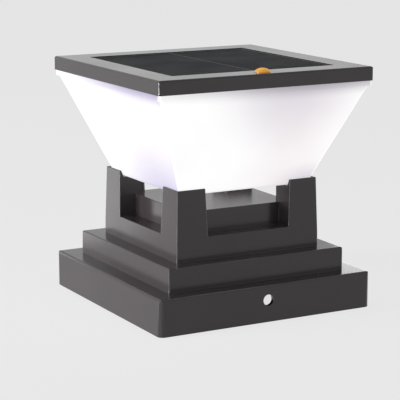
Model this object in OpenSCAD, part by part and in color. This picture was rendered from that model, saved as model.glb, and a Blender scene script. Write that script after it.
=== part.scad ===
// Solar deck post cap light.
// A stepped, hollow base slips over a square post. Four corner pillars hold a frosted,
// upside-down pyramid diffuser, and a flat lid on it carries the solar panel, a push button
// and a lamp tray with the lamps, the battery and the boards.
// Units are millimetres, +Z is up, and the origin is the middle of the base's underside.
// The front, with the button and a fixing hole, faces -Y.

/* [Base] */
// Width of the foot, both ways
base_w = 106; // [105:0.1:110]
// Thickness of the foot's walls round the post
foot_wall_t = 2; // [1.6:0.1:2.6]
// Height of the lowest step
step1_h = 16.2; // [14:0.1:20]
// How far each side of the lowest step leans in over its height
step1_lean = 0.35; // [0.1:0.05:0.5]
// Rounding of the lowest step's upright corners
step1_corner_r = 2.8; // [1.5:0.1:3]
// Rounding of the lowest step's top edge
step1_edge_r = 1.2; // [0.6:0.1:1.6]
// Width of the second step at its foot
step2_w = 88.2; // [84:0.1:92]
// Height of the second step
step2_h = 10.4; // [8:0.1:14]
// How far each side of the second step leans in over its height
step2_lean = 0.4; // [0.1:0.05:0.6]
// Thickness of the moulding's walls, tops and sill
shell_t = 2; // [1.6:0.1:2.4]
// Diameter of the fixing holes in the front and the back
fixing_d = 5; // [3:0.1:6]
// Height of the fixing holes above the underside
fixing_z = 9.7; // [8:0.1:10.5]

/* [Tower] */
// How far each side of the tower leans in over its height
tower_lean = 0.95; // [0.5:0.05:1.2]
// Height of the sill between the pillars above the second step
sill_h = 10.1; // [8:0.1:14]
// Height of the plinth above the sill
plinth_h = 9.8; // [7:0.1:12]
// Width of the plinth at its foot
plinth_w = 54.4; // [50:0.1:58]
// Open height between the plinth and the diffuser
under_gap = 8.3; // [6:0.1:12]
// Width of the gaps between the pillars at the sill
notch_w = 40.8; // [38:0.1:43]
// How far each side of a gap widens up to the rim
notch_flare = 1; // [0.4:0.1:1.5]
// Height of the pillars' rim above the seat of the diffuser
rim_h = 3; // [2:0.1:5]
// Thickness of the pillars' rim at its top
rim_t = 0.75; // [0.6:0.05:1.5]
// Rounding of the pillars' inner upright edge
pillar_inner_r = 2.4; // [1.5:0.1:3]
// Thickness of the pillars' seat under the diffuser
seat_t = 2.4; // [2:0.1:3]

/* [Diffuser] */
// Width of the diffuser's floor
diffuser_floor_w = 65.2; // [63:0.1:68]
// Height of the diffuser between its seat and the lid
diffuser_h = 47.2; // [40:0.1:56]
// Thickness of the diffuser's walls
diffuser_t = 1.6; // [1.4:0.1:2]
// Rounding of the diffuser's bottom edge
diffuser_edge_r = 2; // [1:0.1:2.5]
// Rounding of the diffuser's upright corners
diffuser_corner_r = 2.2; // [1.5:0.1:3]
// Height of the lip round the top of the diffuser
lip_h = 2.3; // [1:0.1:3]
// How far the lip stands proud of the wall
lip_proud = 0.1; // [0.05:0.05:0.2]
// Height of the locating rim inside the lid
locator_h = 3; // [2.6:0.1:3.2]
// Thickness of the locating rim
locator_t = 1.2; // [1:0.1:1.4]

/* [Lid] */
// Width of the lid, both ways
lid_w = 105.4; // [105:0.1:106]
// Height of the lid
lid_h = 6.2; // [6:0.1:8]
// How far each side of the lid leans in over its height
lid_lean = 0.16; // [0.05:0.01:0.3]
// How far the lid reaches beyond the diffuser's wall
lid_overhang = 0.2; // [0.2:0.1:1.4]
// Thickness of the lid's top
lid_top_t = 2.2; // [1.8:0.1:2.4]
// Thickness of the lid's skirt
skirt_t = 1.9; // [1.6:0.1:2]
// Rounding of the lid's top edge
lid_edge_r = 1; // [0.5:0.1:1.5]
// Rounding of the lid's upright corners
lid_corner_r = 0.8; // [0.6:0.1:2]

/* [Solar panel] */
// Width of the lid's border round the solar panel
panel_border = 12.5; // [12.2:0.1:14.5]
// Thickness of the clear cover above the cells
cover_t = 1; // [0.6:0.1:1.2]
// Thickness of the cells
cell_t = 0.3; // [0.2:0.05:0.4]
// Thickness of the board that carries the cells
backing_t = 1.6; // [1.2:0.1:1.8]
// Thickness of the adhesive foam frame
tape_t = 0.6; // [0.4:0.1:0.8]
// Depth of the panel below the lid's top
panel_recess = 0.3; // [0.1:0.1:0.5]
// Width of the border between the cells and the panel's edge
cell_margin = 1.5; // [1:0.1:3]
// Gap between the two cells
cell_gap = 0.7; // [0.4:0.1:1.2]

/* [Button] */
// Diameter of the button
button_d = 6.8; // [5:0.1:7.2]
// Height of the dome above the lid
button_proud = 1.8; // [1.5:0.1:3]
// Distance from the lid's front edge to the middle of the button
button_inset = 6.2; // [5.6:0.1:6.6]
// Travel of the button
button_travel = 0.5; // [0.3:0.1:0.6]

/* [Lamp tray] */
// How far the tray's flange reaches beyond the tub that hangs from it
flange_reach = 9.8; // [8:0.1:10.2]
// Depth of the tub below its flange's top
tub_h = 18; // [17.6:0.1:20]
// Thickness of the tub's walls and floor
tub_t = 1.6; // [1.2:0.1:1.8]
// Thickness of the tray's flange
flange_t = 1.4; // [1.2:0.1:2]
// Distance from the tub's side to the edge of the lamp board
lamp_board_inset = 4; // [2:0.1:4.5]
// Lamps along each side of the lamp board
lamp_rows = 4; // [2:1:5]
// Distance between neighbouring lamps
lamp_pitch = 14; // [12:0.1:14.4]

/* [Battery] */
// Diameter of the battery
battery_d = 14.2; // [10.5:0.1:14.5]
// Length of the battery with its terminal
battery_l = 50; // [44:0.1:50.5]
// Length of the contact spring, pressed in
spring_l = 4; // [3:0.1:5]
// Turns of the contact spring
spring_turns = 4; // [3:1:5]

/* [Control board] */
// Length of the control board
control_l = 56; // [54:0.5:58]
// Width of the control board
control_w = 26; // [24:0.5:27]
// Height of the board's standoffs
standoff_h = 3; // [2.4:0.1:4]

/* [Fasteners] */
// Diameter of the head screws' shanks
head_screw_d = 2.9; // [2.4:0.1:3]
// Length of the head screws' shanks
head_screw_l = 9.5; // [8:0.5:10]
// Diameter of the small screws' shanks
small_screw_d = 1.8; // [1.6:0.1:2]
// Length of the tray screws' shanks
tray_screw_l = 5.5; // [5:0.1:6]
// Length of the board screws' shanks
board_screw_l = 4; // [3.6:0.1:4.4]

/* [Leads] */
// Diameter of the leads
lead_d = 1; // [0.8:0.1:1]
// Distance between the two leads of a pair
lead_pitch = 2; // [1.6:0.1:2.2]

/* [Hidden] */
$fn = 48;
HULL_FN = 32;

// Overrun of the cuts, and thickness of the slices that a hull joins
over = 1;
slice_t = 0.01;
// Clearance of a screw or peg in its hole, each side
fit_gap = 0.05;
// Clearance between mouldings that slip together, each side
slip_gap = 0.2;
// Clearance between the diffuser and the pillars' rim
seat_gap = 0.3;

// Heights of the main faces
z_step2 = step1_h + step2_h;
z_sill = z_step2 + sill_h;
z_plinth = z_sill + plinth_h;
z_seat = z_plinth + under_gap;
z_rim = z_seat + rim_h;
z_lid = z_seat + diffuser_h;
z_top = z_lid + lid_h;
z_lid_under = z_top - lid_top_t;

// Width of the socket that slips over the post
socket_w = base_w - 2 * foot_wall_t;

// Lean of the diffuser's walls, as half a width for each unit of height
diffuser_top_w = lid_w - 2 * lid_overhang;
diffuser_slope = (diffuser_top_w - diffuser_floor_w) / 2 / diffuser_h;
diffuser_skew_share = sqrt(1 + diffuser_slope * diffuser_slope);
diffuser_floor_t = diffuser_t;

// Tower and pillars: the rim stands round the diffuser
pocket_rim_w = diffuser_floor_w + 2 * (diffuser_slope * rim_h + seat_gap);
tower_top_w = pocket_rim_w + 2 * rim_t;
tower_w = tower_top_w + 2 * tower_lean;
tower_h = z_rim - z_step2;
tower_corner_r = 0.8;
tower_edge_r = 0.3;
step2_corner_r = 1.2;
step2_edge_r = 0.7;
plinth_lean = 0.3;
plinth_corner_r = 1;
plinth_edge_r = 0.4;
notch_h = z_rim - z_sill;
pillar_in = notch_w / 2 + notch_flare;
pillar_mid = (pillar_in + tower_top_w / 2) / 2;
pillar_core_w = tower_top_w / 2 - pillar_in - 2 * shell_t;

// Diffuser's screw bosses, over the middles of the pillars
boss_d = 5.6;
boss_roof_t = 1;
boss_spare = 0.9;
boss_bore_h = head_screw_l - seat_t + boss_spare;
boss_h = boss_bore_h + boss_roof_t;
boss_sink = 1;

// Lid's inside: skirt, locating rim, seal, panel pocket and ledge
lid_inner_w = lid_w - 2 * skirt_t;
locator_w = lid_inner_w - 2 * slip_gap;
locator_inner_w = locator_w - 2 * locator_t;
locator_sink = 1;
inner_corner_r = 1;
locator_corner_r = 0.8;
seal_h = z_lid_under - z_lid - locator_h;
panel_w = lid_w - 2 * panel_border;
pocket_w = panel_w + 2 * slip_gap;
pocket_wall_t = 1.6;
panel_h = cover_t + cell_t + backing_t;
z_ledge = z_top - panel_recess - panel_h - tape_t;
ledge_t = 1.4;
ledge_w = 5;
tape_w = 4.7;
window_w = pocket_w - 2 * ledge_w;
z_backing = z_ledge + tape_t;
z_cells = z_backing + backing_t;

// Snap tabs under the lid and their windows in the locating rim
tab_l = 10;
tab_t = 1.2;
tab_gap = 0.3;
tab_bead = 1.1;
tab_bead_h = 1;
tab_end_gap = 0.3;
tab_place_share = 0.48;
tab_at = tab_place_share * lid_w / 2;
tab_out = locator_inner_w / 2 - tab_gap;
tab_window_h = 1.6;
tab_window_rise = 0.6;
bead_gap = 0.3;

// Solar cells
cell_bed_w = panel_w - 2 * cell_margin;
cell_w = (cell_bed_w - cell_gap) / 2;
cell_l = cell_bed_w;
bed_gap = 0.1;
ribbon_t = 0.15;
ribbon_w = 1.5;
ribbon_reach = 12;
ribbon_place_share = 0.62;
ribbon_at = ribbon_place_share * cell_l / 2;

// Button, its neck and ears, and the switch under it
button_y = -(lid_w / 2 - button_inset);
button_gap = 0.08;
button_skirt_h = 1.4;
button_shoulder = 0.4;
dome_base_z = z_top + button_shoulder;
dome_h = button_proud - button_shoulder;
dome_r = (button_d * button_d / 4 + dome_h * dome_h) / (2 * dome_h);
neck_d = 4.2;
ear_l = 10;
ear_w = 3.6;
ear_t = 0.6;
ear_gap = 0.2;
z_button_low = z_lid_under - ear_gap - ear_t;
press_gap = 0.3;
switch_w = 4.2;
switch_h = 2;
z_switch_top = z_button_low - button_travel - press_gap;
z_switch_board = z_switch_top - switch_h;
switch_board_l = 18.4;
switch_board_w = 4.2;
switch_board_t = 1;
plunger_d = 1.8;
plunger_in = 1.4;
post_at = 7.6;
post_d = 2.8;
pin_d = 1.2;
pin_proud = 0.3;

// Lamp tray: flange, tub, standoffs and bosses
tray_drop = 1.4;
z_tray = z_lid - tray_drop;
tray_clear = 2.6;
flange_w = locator_inner_w - 2 * tray_clear;
tub_w = flange_w - 2 * flange_reach;
flange_corner_r = 3;
tub_corner_r = 3;
z_tub_low = z_tray - tub_h;
z_tub_floor = z_tub_low + tub_t;
tub_inner_w = tub_w - 2 * tub_t;
tray_screw_inset = 2.3;
tray_screw_at = flange_w / 2 - tray_screw_inset;
lid_boss_d = 5;
screw_hole_gap = 0.25;

// Lamp board under the tub
lamp_board_w = tub_w - 2 * lamp_board_inset;
lamp_board_t = 1;
z_lamp_board = z_tub_low - lamp_board_t;
lamp_board_r = 2;
lamp_screw_inset = 3;
lamp_screw_at = lamp_board_w / 2 - lamp_screw_inset;
tub_boss_d = 4.4;
tub_boss_h = 2;
lamp_l = 3.5;
lamp_w = 2.8;
lamp_t = 0.7;
lamp_window_d = 2.2;
lamp_window_h = 0.15;

// Battery and its holder
battery_place_share = 0.44;
battery_y = battery_place_share * tub_inner_w / 2;
holder_t = 1.2;
holder_wall_t = 1.6;
battery_rest_gap = 0.15;
nub_d = 5.5;
nub_h = 1.2;
contact_t = 0.4;
contact_w = 8;
holder_l = battery_l + spring_l + 2 * (contact_t + holder_wall_t);
holder_w = battery_d + 2 * (slip_gap + holder_wall_t);
holder_wall_h = 13;
rail_h = 6;
tag_h = 4;
battery_x = spring_l / 2;
battery_z = z_tub_floor + holder_t + battery_rest_gap + battery_d / 2;
battery_low_x = battery_x - battery_l / 2;
spring_coil_d = 6.4;
spring_wire_d = 0.6;
spring_sides = 6;
spring_steps = 14;
peg_d = 2.4;
peg_at = 14;

// Control board and what is on it; a place is in shares of the board's half length and half width
control_place_share = 0.51;
control_y = -control_place_share * tub_inner_w / 2;
control_t = 1.6;
z_control = z_tub_floor + standoff_h;
z_control_top = z_control + control_t;
standoff_d = 4.4;
control_screw_inset = 3.5;
control_screw_x = control_l / 2 - control_screw_inset;
control_screw_y = control_w / 2 - control_screw_inset;
chip_l = 5;
chip_w = 4;
chip_h = 1.5;
chip_leg_l = 1;
chip_leg_w = 0.4;
chip_leg_t = 0.3;
chip_leg_pitch = 1.27;
chip_legs = 4;
chip_place_shares = [-0.07, 0.15];
inductor_d = 6;
inductor_h = 4.5;
inductor_flange_t = 0.8;
inductor_core_d = 4.4;
inductor_place_shares = [0.29, 0.08];
capacitor_d = 5;
capacitor_h = 7;
capacitor_foot_t = 0.8;
capacitor_foot_w = 5.4;
capacitor_place_shares = [0.61, 0.08];
socket_l = 6;
socket_d = 4.6;
socket_h = 5;
z_socket = z_control_top + socket_h;
solar_socket = on_board([-0.43, -0.46]);
switch_socket = on_board([0.07, -0.62]);
battery_socket = on_board([0.5, 0.73]);
lamp_socket = on_board([-0.36, 0.73]);

// Leads: where they start on their boards, and how far they keep their first direction
lead_sides = 8;
lead_steps = 16;
solar_pad_inset = 5;
solar_pad_y = control_y + control_w / 2 - solar_pad_inset;
lamp_hole_d = 5;
lamp_hole_y = (control_y + control_w / 2 + battery_y - holder_w / 2) / 2;
socket_rise_share = 0.8;
battery_rise_share = 1.2;
pair_rise_share = 1.07;
reach_socket = socket_rise_share * (z_backing - z_socket);
reach_lamp = 12;
reach_switch = 16;

// Fastener heads
head_screw_head_d = 5.6;
head_screw_head_h = 2.1;
small_head_d = 3.6;
small_head_h = 1.3;
recess_l_share = 0.6;
recess_w_share = 0.16;
recess_h_share = 0.5;

// Colours
base_colour = "#3d3b3c";
lid_colour = "#454344";
diffuser_colour = "#f4f2f8";
cell_colour = "#1d2126";
white_plastic = "#e9e9e6";
board_green = "#1f6b3f";
board_white = "#e6e8e8";
amber = "#f0a428";
steel = "#b7bac0";
black_plastic = "#1b1b1d";
cover_colour = "#2b3036";
lamp_colour = "#f3e6a2";
battery_colour = "#2f7a4d";
ferrite_colour = "#5a5a5e";
can_colour = "#9aa0a8";
lead_colour = "firebrick";

// Square with round corners, centred
module rounded_square(w, r) {
    square([w, w - 2 * r], center = true);
    square([w - 2 * r, w], center = true);
    for (x = [-1, 1], y = [-1, 1])
        translate([x * (w / 2 - r), y * (w / 2 - r)])
            circle(r = r);
}

// Upright block with round corners, standing on z
module slab(w, h, r, z = 0) {
    translate([0, 0, z])
        linear_extrude(h)
            rounded_square(w, r);
}

// Upright square frame
module square_ring(w, inner_w, h, r, inner_r, z = 0) {
    difference() {
        slab(w, h, r, z);
        slab(inner_w, h + 2 * over, inner_r, z - over);
    }
}

// Side view of a step: its sides lean in and its top corners are arcs tangent to both lines
module step_profile(w, h, lean, r) {
    a = atan(lean / h);
    foot = w / 2;
    arc_x = (foot * cos(a) - r - (h - r) * sin(a)) / cos(a);
    side_x = arc_x + r * cos(a);
    side_y = h - r + r * sin(a);
    polygon([[-foot, 0], [foot, 0], [side_x, side_y], [arc_x, h], [-arc_x, h], [-side_x, side_y]]);
    for (x = [-arc_x, arc_x])
        translate([x, h - r])
            circle(r = r);
}

// Square step with leaning sides, a round top edge and round upright corners
module step_block(w, h, lean, edge_r, corner_r, z = 0) {
    translate([0, 0, z])
        intersection() {
            rotate([90, 0, 0])
                linear_extrude(w + 2 * over, center = true)
                    step_profile(w, h, lean, edge_r);
            rotate([90, 0, 90])
                linear_extrude(w + 2 * over, center = true)
                    step_profile(w, h, lean, edge_r);
            slab(w, h, corner_r);
        }
}

// Prism along Y whose half width grows from low_half to high_half over its height
module flared_prism(low_half, high_half, h, length) {
    rotate([90, 0, 0])
        linear_extrude(length, center = true)
            polygon([[-low_half, 0], [low_half, 0], [high_half, h], [-high_half, h]]);
}

// Repeats its child at the four corners of a square
module at_corners(offset_x, offset_y) {
    for (x = [-offset_x, offset_x], y = [-offset_y, offset_y])
        translate([x, y, 0])
            children();
}

// Repeats its child at the middles of a square's four sides
module at_sides(offset) {
    for (turn = [0 : 90 : 270])
        rotate([0, 0, turn])
            translate([offset, 0, 0])
                children();
}

// Pan head screw pointing up, with the head's bearing face at z
module screw_up(shank_d, shank_l, head_d, head_h, z) {
    translate([0, 0, z])
        cylinder(d = shank_d, h = shank_l);
    difference() {
        translate([0, 0, z - head_h])
            cylinder(d = head_d, h = head_h);
        for (turn = [0, 90])
            rotate([0, 0, turn])
                translate([0, 0, z - head_h])
                    cube([head_d * recess_l_share, head_d * recess_w_share, 2 * head_h * recess_h_share],
                        center = true);
    }
}

// Same screw pointing down
module screw_down(shank_d, shank_l, head_d, head_h, z) {
    translate([0, 0, z])
        mirror([0, 0, 1])
            screw_up(shank_d, shank_l, head_d, head_h, 0);
}

function unit(v) = v / norm(v);

function curve_point(a, b, c, d, t) =
    pow(1 - t, 3) * a + 3 * pow(1 - t, 2) * t * b + 3 * (1 - t) * t * t * c + pow(t, 3) * d;

function curve_slope(a, b, c, d, t) =
    unit(pow(1 - t, 2) * (b - a) + 2 * (1 - t) * t * (c - b) + t * t * (d - c));

function carried_normals(slopes, n, i = 0) =
    i == len(slopes) ? [] :
    let (m = unit(n - (n * slopes[i]) * slopes[i]))
    concat([m], carried_normals(slopes, m, i + 1));

// Round wire through the points, with the given slope and a carried normal at each
module swept_wire(points, slopes, first_normal, d, sides) {
    normals = carried_normals(slopes, first_normal);
    rings = len(points);
    skin = [for (i = [0 : rings - 1], k = [0 : sides - 1])
        let (b = cross(slopes[i], normals[i]))
        points[i] + d / 2 * (cos(360 * k / sides) * normals[i] + sin(360 * k / sides) * b)];
    low_cap = [[for (k = [sides - 1 : -1 : 0]) k]];
    high_cap = [[for (k = [0 : sides - 1]) (rings - 1) * sides + k]];
    lower_half = [for (i = [0 : rings - 2], k = [0 : sides - 1])
        [i * sides + k, i * sides + (k + 1) % sides, (i + 1) * sides + k]];
    upper_half = [for (i = [0 : rings - 2], k = [0 : sides - 1])
        [i * sides + (k + 1) % sides, (i + 1) * sides + (k + 1) % sides, (i + 1) * sides + k]];
    polyhedron(points = skin, faces = [for (f = concat(low_cap, lower_half, upper_half, high_cap))
        [for (k = [len(f) - 1 : -1 : 0]) f[k]]]);
}

// Lead that leaves both of its ends square to what it meets
module lead(start, start_dir, start_reach, end, end_dir, end_reach) {
    b = start + start_reach * start_dir;
    c = end + end_reach * end_dir;
    steps = [for (i = [0 : lead_steps]) i / lead_steps];
    side = abs(start_dir[2]) > abs(start_dir[0]) ? [1, 0, 0] : [0, 0, 1];
    swept_wire([for (t = steps) curve_point(start, b, c, end, t)],
        [for (t = steps) curve_slope(start, b, c, end, t)], side, lead_d, lead_sides);
}

function on_board(shares) =
    [shares[0] * control_l / 2, control_y + shares[1] * control_w / 2];

module base_shell() {
    color(base_colour)
        difference() {
            union() {
                step_block(base_w, step1_h, step1_lean, step1_edge_r, step1_corner_r);
                step_block(step2_w, step2_h + shell_t, step2_lean, step2_edge_r, step2_corner_r,
                    step1_h - shell_t);
                tower();
                step_block(plinth_w, plinth_h + shell_t, plinth_lean, plinth_edge_r, plinth_corner_r,
                    z_sill - shell_t);
            }
            base_hollow();
            at_corners(pillar_mid, pillar_mid)
                translate([0, 0, z_seat - seat_t - over])
                    cylinder(d = head_screw_d + 2 * screw_hole_gap, h = seat_t + 2 * over);
            translate([0, 0, fixing_z])
                rotate([90, 0, 0])
                    cylinder(d = fixing_d, h = base_w + 2 * over, center = true);
        }
}

// Tower block cut down to a sill and four pillars, with a pocket for the diffuser
module tower() {
    difference() {
        step_block(tower_w, tower_h + shell_t, tower_lean, tower_edge_r, tower_corner_r,
            z_step2 - shell_t);
        for (turn = [0, 90])
            rotate([0, 0, turn])
                translate([0, 0, z_sill])
                    flared_prism(notch_w / 2, pillar_in + notch_flare * over / notch_h,
                        notch_h + over, tower_w + 2 * over);
        for (turn = [0 : 90 : 270])
            rotate([0, 0, turn])
                pillar_edge_cut();
        translate([0, 0, z_seat])
            intersection() {
                flared_prism(diffuser_floor_w / 2 + seat_gap,
                    diffuser_floor_w / 2 + seat_gap + diffuser_slope * (rim_h + over),
                    rim_h + over, tower_w);
                rotate([0, 0, 90])
                    flared_prism(diffuser_floor_w / 2 + seat_gap,
                        diffuser_floor_w / 2 + seat_gap + diffuser_slope * (rim_h + over),
                        rim_h + over, tower_w);
            }
    }
}

// What rounds the inner upright edge of one pillar
module pillar_edge_cut() {
    difference() {
        translate([pillar_in - over, pillar_in - over, z_sill])
            cube([pillar_inner_r + over, pillar_inner_r + over, notch_h + over]);
        translate([pillar_in + pillar_inner_r, pillar_in + pillar_inner_r, z_sill - over])
            cylinder(r = pillar_inner_r, h = notch_h + 3 * over);
    }
}

// Inside of the base: the post's socket, the steps, the pillars' cores and the plinth
module base_hollow() {
    slab(socket_w, step1_h - shell_t + over, inner_corner_r, -over);
    slab(step2_w - 2 * (step2_lean + shell_t), z_step2 - shell_t + over, inner_corner_r, -over);
    slab(tower_top_w - 2 * shell_t, z_sill - shell_t + over, inner_corner_r, -over);
    slab(plinth_w - 2 * (plinth_lean + shell_t), z_plinth - shell_t + over, inner_corner_r, -over);
    at_corners(pillar_mid, pillar_mid)
        translate([-pillar_core_w / 2, -pillar_core_w / 2, 0])
            cube([pillar_core_w, pillar_core_w, z_seat - seat_t]);
}

function diffuser_w(h) = diffuser_floor_w + 2 * diffuser_slope * h;

module diffuser() {
    color(diffuser_colour)
        difference() {
            union() {
                difference() {
                    union() {
                        diffuser_body();
                        slab(diffuser_top_w + 2 * lip_proud, lip_h, diffuser_corner_r, z_lid - lip_h);
                        slab(locator_w, locator_h + locator_sink, locator_corner_r, z_lid - locator_sink);
                    }
                    diffuser_inside();
                    slab(locator_inner_w, locator_h + locator_sink + over, locator_corner_r,
                        z_lid - locator_sink);
                    tab_windows();
                }
                at_corners(pillar_mid, pillar_mid)
                    translate([0, 0, z_seat + boss_sink])
                        cylinder(d = boss_d, h = boss_h - boss_sink);
            }
            at_corners(pillar_mid, pillar_mid)
                translate([0, 0, z_seat - over])
                    cylinder(d = head_screw_d + 2 * fit_gap, h = boss_bore_h + over);
        }
}

// Outer form of the diffuser: slices round the bottom edge, then a straight wall to the top
module diffuser_body() {
    edge_angles = [0 : 30 : 90];
    hull() {
        for (a = edge_angles)
            slab(diffuser_w(diffuser_edge_r * (1 - cos(a))) - 2 * diffuser_edge_r * (1 - sin(a)),
                slice_t, diffuser_corner_r, z_seat + diffuser_edge_r * (1 - cos(a)), $fn = HULL_FN);
        slab(diffuser_w(diffuser_h), slice_t, diffuser_corner_r, z_lid - slice_t, $fn = HULL_FN);
    }
}

module diffuser_inside() {
    wall_w = diffuser_t * diffuser_skew_share;
    inner_r = diffuser_corner_r - diffuser_t / 2;
    hull() {
        slab(diffuser_w(diffuser_floor_t) - 2 * wall_w - diffuser_edge_r, slice_t, inner_r,
            z_seat + diffuser_floor_t, $fn = HULL_FN);
        slab(diffuser_w(diffuser_edge_r) - 2 * wall_w, slice_t, inner_r,
            z_seat + diffuser_edge_r + slice_t, $fn = HULL_FN);
        slab(diffuser_w(diffuser_h - locator_sink) - 2 * wall_w, slice_t, inner_r,
            z_lid - locator_sink, $fn = HULL_FN);
    }
}

// Windows in the locating rim that the lid's beads click into
module tab_windows() {
    for (turn = [0 : 90 : 270], x = [-tab_at, tab_at])
        rotate([0, 0, turn])
            translate([x - tab_l / 2 - tab_end_gap, locator_inner_w / 2 - over, z_lid + tab_window_rise])
                cube([tab_l + 2 * tab_end_gap, locator_t + 2 * over, tab_window_h]);
}

module lid_frame() {
    color(lid_colour) {
        difference() {
            union() {
                difference() {
                    step_block(lid_w, lid_h, lid_lean, lid_edge_r, lid_corner_r, z_lid);
                    slab(lid_inner_w, z_lid_under - z_lid + over, inner_corner_r, z_lid - over);
                }
                slab(pocket_w + 2 * pocket_wall_t, z_top - z_ledge, pocket_wall_t,
                    z_ledge - ledge_t);
            }
            slab(pocket_w, z_top - z_ledge + over, inner_corner_r, z_ledge);
            slab(window_w, ledge_t + 2 * over, inner_corner_r, z_ledge - ledge_t - over);
            translate([0, button_y, z_lid_under - over])
                cylinder(d = button_d + 2 * button_gap, h = lid_top_t + 2 * over);
        }
        lid_tabs();
        difference() {
            at_corners(tray_screw_at, tray_screw_at)
                translate([0, 0, z_tray])
                    cylinder(d = lid_boss_d, h = z_lid_under - z_tray + boss_sink);
            at_corners(tray_screw_at, tray_screw_at)
                translate([0, 0, z_tray - over])
                    cylinder(d = small_screw_d + 2 * fit_gap, h = tray_screw_l - flange_t + 2 * over);
        }
        for (x = [-post_at, post_at])
            translate([x, button_y, 0]) {
                translate([0, 0, z_switch_board])
                    cylinder(d = post_d, h = z_lid_under - z_switch_board + boss_sink);
                translate([0, 0, z_switch_board - switch_board_t - pin_proud])
                    cylinder(d = pin_d, h = switch_board_t + pin_proud + boss_sink);
            }
    }
}

// Eight tabs with beads that click into the locating rim
module lid_tabs() {
    for (turn = [0 : 90 : 270], x = [-tab_at, tab_at])
        rotate([0, 0, turn])
            translate([x - tab_l / 2, tab_out - tab_t, z_lid + bead_gap]) {
                cube([tab_l, tab_t, z_lid_under - z_lid - bead_gap + boss_sink]);
                translate([0, 0, tab_window_rise])
                    cube([tab_l, tab_t + tab_bead, tab_bead_h]);
            }
}

module lid_seal() {
    color(black_plastic)
        square_ring(locator_w, locator_inner_w, seal_h, locator_corner_r, locator_corner_r,
            z_lid + locator_h);
}

module panel_tape() {
    color(black_plastic)
        square_ring(panel_w, panel_w - 2 * tape_w, tape_t, inner_corner_r, inner_corner_r, z_ledge);
}

module panel_backing() {
    color(board_green)
        difference() {
            slab(panel_w, backing_t, inner_corner_r, z_backing);
            ribbon_bars(bed_gap, ribbon_t + over);
        }
}

// Two flat bars that cross from one cell to the other, sunk in the backing
module ribbon_bars(gap, h) {
    for (y = [-ribbon_at, ribbon_at])
        translate([-ribbon_reach - gap, y - ribbon_w / 2 - gap, z_cells - ribbon_t])
            cube([2 * (ribbon_reach + gap), ribbon_w + 2 * gap, h]);
}

module cell_ribbons() {
    color(steel)
        ribbon_bars(0, ribbon_t);
}

module solar_cell(side) {
    color(cell_colour)
        translate([side * (cell_gap + cell_w) / 2, 0, z_cells + cell_t / 2])
            cube([cell_w, cell_l, cell_t], center = true);
}

module cell_left() {
    solar_cell(-1);
}

module cell_right() {
    solar_cell(1);
}

module panel_cover() {
    color(cover_colour, 0.5)
        difference() {
            slab(panel_w, cover_t + cell_t, inner_corner_r, z_cells);
            translate([0, 0, z_cells + cell_t / 2 - over / 2])
                cube([cell_bed_w + 2 * bed_gap, cell_bed_w + 2 * bed_gap, cell_t + over], center = true);
        }
}

module power_button() {
    color(amber)
        translate([0, button_y, 0]) {
            translate([0, 0, dome_base_z - button_shoulder - button_skirt_h])
                cylinder(d = button_d, h = button_skirt_h + button_shoulder);
            intersection() {
                translate([0, 0, dome_base_z + dome_h - dome_r])
                    sphere(r = dome_r);
                translate([0, 0, dome_base_z])
                    cylinder(d = button_d, h = dome_h + over);
            }
            translate([0, 0, z_button_low])
                cylinder(d = neck_d, h = dome_base_z - z_button_low);
            translate([-ear_l / 2, -ear_w / 2, z_button_low])
                cube([ear_l, ear_w, ear_t]);
        }
}

module switch_plunger() {
    color(white_plastic)
        translate([0, button_y, z_switch_top - plunger_in])
            cylinder(d = plunger_d, h = z_button_low - z_switch_top + plunger_in);
}

module switch_body() {
    color(black_plastic)
        translate([0, button_y, z_switch_board])
            difference() {
                translate([-switch_w / 2, -switch_w / 2, 0])
                    cube([switch_w, switch_w, switch_h]);
                translate([0, 0, -over])
                    cylinder(d = plunger_d + 2 * fit_gap, h = switch_h + 2 * over);
            }
}

module switch_board() {
    color(board_green)
        translate([0, button_y, z_switch_board - switch_board_t])
            difference() {
                translate([-switch_board_l / 2, -switch_board_w / 2, 0])
                    cube([switch_board_l, switch_board_w, switch_board_t]);
                for (x = [-post_at, post_at])
                    translate([x, 0, -over])
                        cylinder(d = pin_d + 2 * fit_gap, h = switch_board_t + 2 * over);
            }
}

module lamp_tray() {
    color(white_plastic)
        difference() {
            union() {
                slab(flange_w, flange_t, flange_corner_r, z_tray - flange_t);
                slab(tub_w, tub_h, tub_corner_r, z_tub_low);
            }
            difference() {
                slab(tub_inner_w, tub_h, tub_corner_r - tub_t, z_tub_floor);
                tray_bosses();
            }
            at_corners(tray_screw_at, tray_screw_at)
                translate([0, 0, z_tray - flange_t - over])
                    cylinder(d = small_screw_d + 2 * screw_hole_gap, h = flange_t + 2 * over);
            at_sides(lamp_screw_at)
                translate([0, 0, z_tub_low - over])
                    cylinder(d = small_screw_d + 2 * fit_gap, h = tub_t + tub_boss_h + 2 * over);
            translate([0, control_y, 0])
                at_corners(control_screw_x, control_screw_y)
                    translate([0, 0, z_tub_floor])
                        cylinder(d = small_screw_d + 2 * fit_gap, h = standoff_h + over);
            translate([0, lamp_hole_y, z_tub_low - over])
                cylinder(d = lamp_hole_d, h = tub_t + 2 * over);
        }
}

// Bosses on the tub's floor: lamp board screws, control board standoffs and holder pegs
module tray_bosses() {
    at_sides(lamp_screw_at)
        translate([0, 0, z_tub_low])
            cylinder(d = tub_boss_d, h = tub_t + tub_boss_h);
    translate([0, control_y, 0])
        at_corners(control_screw_x, control_screw_y)
            translate([0, 0, z_tub_low])
                cylinder(d = standoff_d, h = tub_t + standoff_h);
    for (x = [-peg_at, peg_at])
        translate([x, battery_y, z_tub_low])
            cylinder(d = peg_d, h = tub_t + holder_t);
}

module lamp_board() {
    color(board_white)
        difference() {
            slab(lamp_board_w, lamp_board_t, lamp_board_r, z_lamp_board);
            at_sides(lamp_screw_at)
                translate([0, 0, z_lamp_board - over])
                    cylinder(d = small_screw_d + 2 * screw_hole_gap, h = lamp_board_t + 2 * over);
        }
}

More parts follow.
